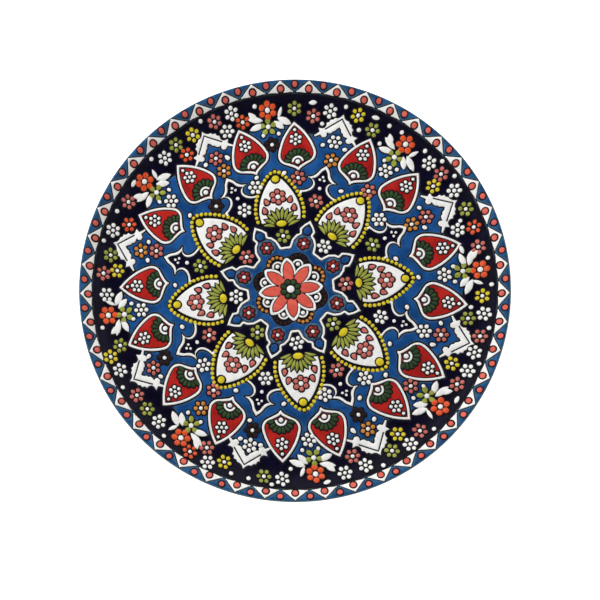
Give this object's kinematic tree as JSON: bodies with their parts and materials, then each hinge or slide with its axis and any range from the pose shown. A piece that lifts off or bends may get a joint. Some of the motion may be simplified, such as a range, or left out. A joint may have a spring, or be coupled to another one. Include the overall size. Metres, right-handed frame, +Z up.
{
  "type": "decorated ceramic plate",
  "caption": "Round shallow ceramic plate on a foot ring, its face covered with a raised hand painted pattern of hearts, petals, stars and flowers.",
  "frame": {"origin": "middle of the foot ring's standing face", "axes": "+Z up out of the dish, +Y towards the top of the pattern as the plate is shown, +X to its right"},
  "size_m": [0.3, 0.3, 0.0263],
  "materials": {
    "clay_bare": "unglazed fired clay",
    "clear_glaze": "clear gloss glaze over pale clay",
    "white_slip": "white slip under clear gloss",
    "contour_black": "black contour colour under gloss",
    "enamel_white": "raised gloss enamel",
    "enamel_blue": "brushed gloss enamel, paler at its edges",
    "enamel_navy": "brushed gloss enamel",
    "enamel_coral": "raised gloss enamel",
    "enamel_pink": "raised gloss enamel",
    "enamel_red": "gloss enamel",
    "enamel_dark_red": "raised gloss enamel",
    "enamel_green": "raised gloss enamel",
    "enamel_olive": "raised gloss enamel",
    "enamel_yellow": "raised gloss enamel",
    "enamel_orange": "raised gloss enamel",
    "enamel_amber": "raised gloss enamel",
    "enamel_brown": "raised gloss enamel"
  },
  "bodies": {
    "root": {"clay_body": "clay_bare", "foot_ring": "clay_bare", "back_glaze": "clear_glaze", "white_slip": "white_slip", "contour_coat": "contour_black", "border_band": "enamel_blue", "outer_navy_ground": "enamel_navy", "blue_field": "enamel_blue", "inner_navy_ground": "enamel_navy", "centre_ground": "enamel_blue", "border_triangles": "enamel_white", "border_dots": "enamel_coral", "rosette_border": "enamel_white", "rosette_petals": "enamel_coral", "rosette_eye": "enamel_green", "centre_dot": "enamel_white", "scallop_arches": "enamel_white", "scallop_beads_brown": "enamel_brown", "scallop_beads_amber": "enamel_amber", "star_border": "enamel_white", "star_field": "enamel_blue", "star_flowers": "enamel_dark_red", "petal_panels": "enamel_white", "panel_beads": "enamel_yellow", "panel_tips": "enamel_yellow", "panel_suns": "enamel_yellow", "panel_leaves": "enamel_olive", "panel_blossoms": "enamel_pink", "vase_borders": "enamel_white", "vase_fills": "enamel_navy", "vase_trefoils": "enamel_white", "heart_borders": "enamel_white", "heart_fills": "enamel_red", "heart_fans": "enamel_green", "heart_arches": "enamel_white", "heart_flowers": "enamel_white", "brackets": "enamel_white", "bouquet_leaves": "enamel_white", "bouquet_stars": "enamel_olive", "bouquet_blossoms": "enamel_orange", "flowers_white": "enamel_white", "flowers_pink": "enamel_pink", "flowers_olive": "enamel_olive", "flowers_yellow": "enamel_yellow", "flowers_orange": "enamel_orange", "flowers_amber": "enamel_amber", "flowers_brown": "enamel_brown", "flower_eyes": "enamel_white", "white_dots": "enamel_white"}
  },
  "joints": []
}
